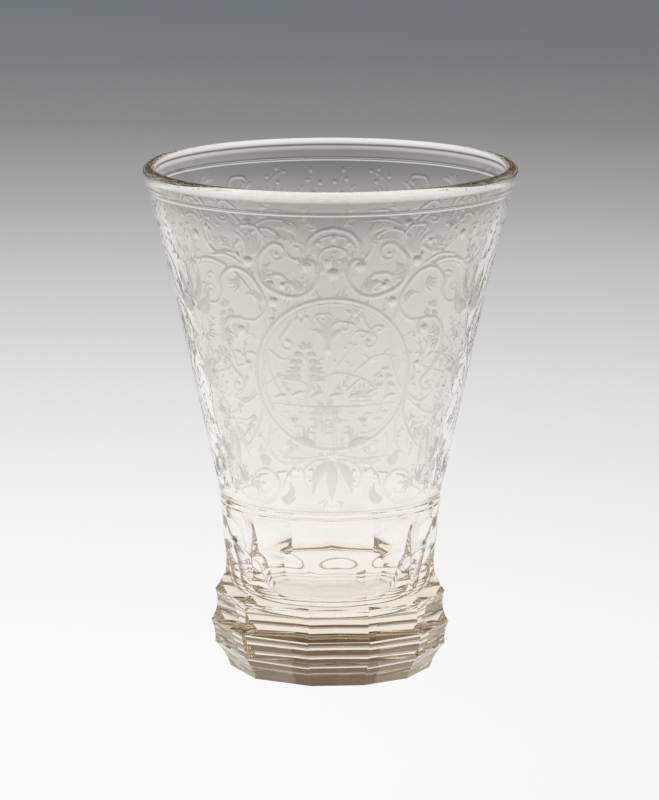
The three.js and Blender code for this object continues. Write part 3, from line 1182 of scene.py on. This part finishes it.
@dataclass(frozen=True)
class ClearGlass:
    """Old potash glass: clear and faintly brown in the thick, matt where the wheel engraved it."""

    refraction: float = 1.5
    matt_roughness: float = 0.42
    matt_body: float = 0.07
    tint: Colour = (1.0, 0.99, 0.98)
    absorption: Colour = (0.84, 0.68, 0.35)
    density: float = 8.5
    waviness: float = 0.05
    wave_scale: float = 60.0

    def material(self) -> bpy.types.Material:
        """Build the material.

        Returns:
            The material.
        """
        material = bpy.data.materials.new("clear_glass")
        shading = Shading(material)
        frost = shading.node("Attribute")
        frost.attribute_name = "frost"
        matt = shading.node("Math", {0: frost.outputs["Fac"], 1: self.matt_roughness}, "MULTIPLY")
        clear = shading.node("MapRange", {
            "Value": frost.outputs["Fac"], "To Min": 1.0, "To Max": 1.0 - self.matt_body})
        glass = shading.node("BsdfPrincipled", {
            "IOR": self.refraction, "Base Color": (*self.tint, 1), "Roughness": matt.outputs[0],
            "Transmission Weight": clear.outputs["Result"], "Normal": self._waves(shading)})
        body = shading.node("VolumeAbsorption", {"Color": (*self.absorption, 1), "Density": self.density})
        shading.node("OutputMaterial", {"Surface": glass.outputs[0], "Volume": body.outputs[0]})
        return material

    def _waves(self, shading: Shading) -> bpy.types.NodeSocket:
        """Faint waviness of glass that was blown and ground by hand, as a surface normal.

        Args:
            shading: Node tree to add to.

        Returns:
            The normal.
        """
        place = shading.node("TexCoord")
        noise = shading.node("TexNoise", {
            "Vector": place.outputs["Object"], "Scale": self.wave_scale, "Detail": 1.0})
        bump = shading.node("Bump", {
            "Height": noise.outputs["Fac"], "Strength": self.waviness, "Distance": MM})
        return bump.outputs["Normal"]


@dataclass
class GlassBody:
    """The whole beaker as one closed skin of rings. Sizes in millimetres."""

    foot: CutFoot = field(default_factory=CutFoot)
    neck: Neck = field(default_factory=Neck)
    wall: EngravedWall = field(default_factory=EngravedWall)
    lip: Lip = field(default_factory=Lip)
    cup: Cup = field(default_factory=Cup)
    finish: ClearGlass = field(default_factory=ClearGlass)
    column_count: int = 400
    fine_split: int = 3
    arris_angle: float = 9.0
    arris_share: float = 0.4
    blank_taper: float = 1.2

    def build(self, rim_radius: float, top: float) -> bpy.types.Object:
        """Build and dress the beaker.

        Args:
            rim_radius: Widest radius of the lip.
            top: Height of the lip.

        Returns:
            The finished object, in metres.
        """
        columns = self.foot.columns(self.column_count)
        fine = self._split(columns)
        rings = self.foot.rings(columns, self._blank_radius) + self.neck.rings(self.foot, columns)
        rings += self.wall.rings(fine)
        rings += self.lip.rings(self.wall, rim_radius, top)
        rings += self.cup.rings(self.wall, self.lip, rim_radius, top)
        points, frost, faces = self._skin(rings, columns, fine)
        mesh = bpy.data.meshes.new("glass_beaker")
        mesh.from_pydata((points * MM).tolist(), [], faces)
        mesh.update()
        matt = mesh.attributes.new("frost", "FLOAT", "POINT")
        matt.data.foreach_set("value", frost.astype(np.float32))
        mesh.shade_smooth()
        self._mark_arrises(mesh)
        mesh.materials.append(self.finish.material())
        piece = bpy.data.objects.new("glass_beaker", mesh)
        bpy.context.scene.collection.objects.link(piece)
        return piece

    def _blank_radius(self, height: float) -> float:
        """Radius of the glass before the facets are cut, which tapers from the foot to the neck.

        Args:
            height: Height above the base.

        Returns:
            Radius at that height.
        """
        neck = self.neck.radius_at(height, self.foot.levels[-1], self.foot.waist_radius)
        arris_end = self.foot.levels[3] + self.foot.cove_rise
        return neck + self.blank_taper * max(0.0, arris_end - height)

    def _split(self, columns: np.ndarray) -> np.ndarray:
        """Finer directions, in radians, that keep every coarse one.

        Args:
            columns: Coarse directions.

        Returns:
            Fine directions.
        """
        after = np.append(columns[1:], columns[0] + 2 * math.pi)
        shares = np.arange(self.fine_split) / self.fine_split
        return (columns[:, None] + (after - columns)[:, None] * shares).ravel()

    def _skin(self, rings: list[Ring], columns: np.ndarray, fine: np.ndarray
              ) -> tuple[np.ndarray, np.ndarray, list[list[int]]]:
        """Join the rings into one closed skin.

        Args:
            rings: Rings in order over the surface.
            columns: Coarse directions.
            fine: Fine directions.

        Returns:
            Points, their matt share, and the faces as lists of point numbers.
        """
        points, frost, faces, sizes = [], [], [], []
        for ring in rings:
            angles = fine if np.size(ring.radius) == len(fine) else columns
            x, y = ring.radius * np.cos(angles), ring.radius * np.sin(angles)
            points.append(np.column_stack([x, y, np.full(len(angles), ring.height)]))
            frost.append(np.full(len(angles), ring.frost))
            sizes.append(len(angles))
        starts = np.cumsum([0, *sizes]).tolist()
        for a, below, b, above in zip(starts, sizes, starts[1:], sizes[1:]):
            faces += self._join(a, below, b, above)
        total, last = starts[-1], sizes[-1]
        step = np.arange(last)
        after = (step + 1) % last
        for middle, ahead, here in ((total, after, step),
                                    (total + 1, starts[-2] + step, starts[-2] + after)):
            faces += np.column_stack([np.full(last, middle), ahead, here]).tolist()
        points.append([[0, 0, rings[0].height], [0, 0, self.cup.floor_height]])
        frost.append([0, 0])
        return np.vstack(points), np.concatenate(frost), faces

    def _join(self, a: int, below: int, b: int, above: int) -> list[list[int]]:
        """Faces between two rings, which may have different numbers of points.

        Args:
            a: First point of the lower ring.
            below: Number of its points.
            b: First point of the upper ring.
            above: Number of its points.

        Returns:
            Faces as lists of point numbers.
        """
        step = np.arange(min(below, above))
        after = (step + 1) % len(step)
        if below == above:
            return np.column_stack([a + step, a + after, b + after, b + step]).tolist()
        coarse, dense, order = (a, b, 1) if above > below else (b, a, -1)
        split = self.fine_split
        faces = []
        for k, n in zip(step.tolist(), after.tolist()):
            fan = [dense + split * k + i for i in range(split)] + [dense + split * n]
            faces.append([coarse + k, coarse + n, fan[-1], fan[-2]][::order])
            faces += [[coarse + k, fan[i + 1], fan[i]][::order] for i in range(split - 1)]
        return faces

    def _mark_arrises(self, mesh: bpy.types.Mesh) -> None:
        """Keep the arrises of the cut foot sharp, and everything above them smooth.

        Args:
            mesh: Mesh of the beaker.
        """
        mesh.set_sharp_from_angle(angle=math.radians(self.arris_angle))
        sharp = mesh.attributes["sharp_edge"]
        marks = np.zeros(len(mesh.edges), dtype=bool)
        sharp.data.foreach_get("value", marks)
        ends = np.zeros(2 * len(mesh.edges), dtype=np.int32)
        mesh.edges.foreach_get("vertices", ends)
        places = np.zeros(3 * len(mesh.vertices), dtype=np.float32)
        mesh.vertices.foreach_get("co", places)
        heights = places.reshape(-1, 3)[:, 2][ends.reshape(-1, 2)].max(axis=1)
        limit = (self.foot.levels[-1] + self.arris_share * self.foot.arch_reach) * MM
        sharp.data.foreach_set("value", marks & (heights < limit))


@dataclass
class StudioFloor:
    """Wide pale floor with a painted pool of light, falling away to grey as on a lit paper sweep. Sizes in
    metres.
    """

    radius: float = 6.0
    below: float = 0.0002
    # Centre of the painted pool of light on the floor.
    pool_centre: Point = (0.0, -0.1)
    ramp_reach: float = 2.0
    # Painted shade: the floor's tone is a little darker towards the right, over this reach.
    painted_side_shade: float = 0.28
    painted_side_shade_reach: float = 0.5
    shine_through: float = 0.93
    glow: float = 1.045
    sides: int = 96
    # Painted pool of light: bright at its centre, dim grey far away.
    tones: Tones = (
        (0.0, 0.965), (0.065, 0.955), (0.11, 0.915), (0.15, 0.878), (0.193, 0.814), (0.241, 0.739),
        (0.294, 0.640), (0.353, 0.540), (0.42, 0.395), (0.524, 0.248), (0.615, (0.195, 0.205, 0.212)),
        (0.683, (0.175, 0.189, 0.200)), (0.85, (0.16, 0.17, 0.18)), (1.0, (0.14, 0.145, 0.15)))

    def build(self) -> bpy.types.Object:
        """Build the floor disc and its material.

        Returns:
            The floor.
        """
        turn = np.linspace(0, 2 * math.pi, self.sides, endpoint=False)
        rim = [(self.radius * math.cos(a), self.radius * math.sin(a), -self.below) for a in turn]
        mesh = bpy.data.meshes.new("studio_floor")
        mesh.from_pydata(rim, [], [list(range(len(rim)))])
        mesh.materials.append(self._material())
        floor = bpy.data.objects.new("studio_floor", mesh)
        bpy.context.scene.collection.objects.link(floor)
        return floor

    def _material(self) -> bpy.types.Material:
        """Paper with painted light and shade in its tone, which depends on the place; it keeps the beaker's
        shadow.

        Returns:
            The material.
        """
        material = bpy.data.materials.new("paper_with_painted_light")
        shading = Shading(material)
        tone = self._painted_light_tone(shading)
        paper = shading.node("BsdfDiffuse", {"Color": tone})
        glow = shading.node("Emission", {"Color": tone, "Strength": self.glow})
        mix = shading.node("MixShader", {
            "Fac": self._seen_share(shading), 1: paper.outputs[0], 2: glow.outputs[0]})
        shading.node("OutputMaterial", {"Surface": mix.outputs[0]})
        return material

    def _painted_light_tone(self, shading: Shading) -> bpy.types.NodeSocket:
        """Painted light: tone from the distance to the pool's centre, and painted shade a little darker to
        the right.

        Args:
            shading: Node tree to add to.

        Returns:
            Colour of the floor at each place.
        """
        place = shading.node("TexCoord").outputs["Object"]
        away = shading.node("VectorMath", {0: place, 1: (*self.pool_centre, 0)}, "DISTANCE")
        share = shading.node("MapRange", {"Value": away.outputs["Value"], "From Max": self.ramp_reach})
        across = shading.node("SeparateXYZ", {0: place})
        # Painted shade: scale the tone down towards the right.
        side_shade = shading.node("MapRange", {
            "Value": across.outputs["X"], "From Min": -self.painted_side_shade_reach, "From Max": self.painted_side_shade_reach,
            "To Min": 1 + self.painted_side_shade / 2, "To Max": 1 - self.painted_side_shade / 2})
        shade = shading.node("VectorMath", {
            0: shading.ramp(self.tones, share.outputs["Result"]), "Scale": side_shade.outputs["Result"]}, "SCALE")
        return shade.outputs[0]

    def _seen_share(self, shading: Shading) -> bpy.types.NodeSocket:
        """Share of even glow for rays that look at the floor, straight or through the glass.

        Args:
            shading: Node tree to add to.

        Returns:
            The share.
        """
        path = shading.node("LightPath")
        seen = path.outputs["Is Camera Ray"]
        for name in ("Is Glossy Ray", "Is Transmission Ray"):
            seen = shading.node("Math", {0: seen, 1: path.outputs[name]}, "MAXIMUM").outputs[0]
        return shading.node("Math", {0: seen, 1: self.shine_through}, "MULTIPLY").outputs[0]


@dataclass
class StudioRoom:
    """Dim room round the floor, with a broad soft box overhead. Sizes in metres."""

    front_tones: Tones = (
        (0.0, (0.14, 0.145, 0.15)), (0.025, (0.55, 0.53, 0.48)), (0.06, (0.5, 0.47, 0.42)),
        (0.09, (0.16, 0.10, 0.045)), (0.3, (0.14, 0.09, 0.04)), (1.0, (0.10, 0.065, 0.03)))
    side_tones: Tones = (
        (0.0, (0.14, 0.145, 0.15)), (0.03, (0.70, 0.69, 0.67)), (0.3, (0.62, 0.60, 0.57)),
        (0.7, (0.30, 0.26, 0.20)), (1.0, (0.15, 0.10, 0.05)))
    box_height: float = 1.3
    box_size: tuple[float, float] = (1.6, 1.6)
    box_power: float = 4.0

    def build(self) -> None:
        """Build the surroundings and the soft box."""
        world = bpy.data.worlds.new("studio_room")
        bpy.context.scene.world = world
        shading = Shading(world)
        place = shading.node("TexCoord")
        parts = shading.node("SeparateXYZ", {0: place.outputs["Generated"]})
        across, up = parts.outputs["X"], parts.outputs["Z"]
        sideways = shading.node("Math", {0: across, 1: across}, "MULTIPLY")
        mix = shading.node("Mix")
        mix.data_type = "RGBA"
        shading.fill(mix, {"Factor": sideways.outputs[0], "A": shading.ramp(self.front_tones, up),
                           "B": shading.ramp(self.side_tones, up)})
        light = shading.node("Background", {"Color": mix.outputs["Result"]})
        shading.node("OutputWorld", {"Surface": light.outputs[0]})
        self._soft_box()

    def _soft_box(self) -> None:
        """Broad lamp straight above the beaker."""
        lamp = bpy.data.lights.new("overhead_soft_box", "AREA")
        lamp.shape = "RECTANGLE"
        lamp.size, lamp.size_y = self.box_size
        lamp.energy = self.box_power
        box = bpy.data.objects.new("overhead_soft_box", lamp)
        bpy.context.scene.collection.objects.link(box)
        box.location = (0, 0, self.box_height)


@dataclass
class StudioCamera:
    """Long lens that looks a little down on the beaker. Metres and degrees."""

    distance: float = 1.480
    height: float = 0.3508
    tilt: float = 10.858
    sensor: float = 36.0
    focal_pixels: float = 6083.0
    picture_height: float = 800.0
    shift_pixels: float = -0.9

    def build(self) -> None:
        """Place the camera and make it the scene's own."""
        lens = bpy.data.cameras.new("studio_camera")
        lens.sensor_fit = "VERTICAL"
        lens.sensor_height = self.sensor
        lens.lens = self.focal_pixels / self.picture_height * self.sensor
        lens.shift_x = self.shift_pixels / self.picture_height
        camera = bpy.data.objects.new("studio_camera", lens)
        camera.location = (0, -self.distance, self.height)
        camera.rotation_euler = (math.radians(90 - self.tilt), 0, 0)
        bpy.context.scene.collection.objects.link(camera)
        bpy.context.scene.camera = camera


def set_light_paths() -> None:
    """Let light pass through all the walls of the glass, and clean the picture of noise."""
    scene = bpy.context.scene
    scene.view_settings.view_transform = "Standard"
    scene.cycles.max_bounces = 32
    scene.cycles.transmission_bounces = 32
    scene.cycles.glossy_bounces = 16
    scene.cycles.transparent_max_bounces = 16
    scene.cycles.use_denoising = True


def main() -> None:
    """Build the beaker and its studio."""
    logging.basicConfig(level=logging.INFO, format="%(name)s: %(message)s")
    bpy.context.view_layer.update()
    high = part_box("beaker")[1]
    beaker = GlassBody().build(high[0] / MM, high[2] / MM)
    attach(beaker, "root")
    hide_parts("beaker")
    LOG.info("%s has %d faces", beaker.name, len(beaker.data.polygons))
    floor = StudioFloor().build()
    LOG.info("%s is %.1f m across", floor.name, floor.dimensions.x)
    StudioRoom().build()
    StudioCamera().build()
    set_light_paths()


if __name__ == "__main__":
    main()
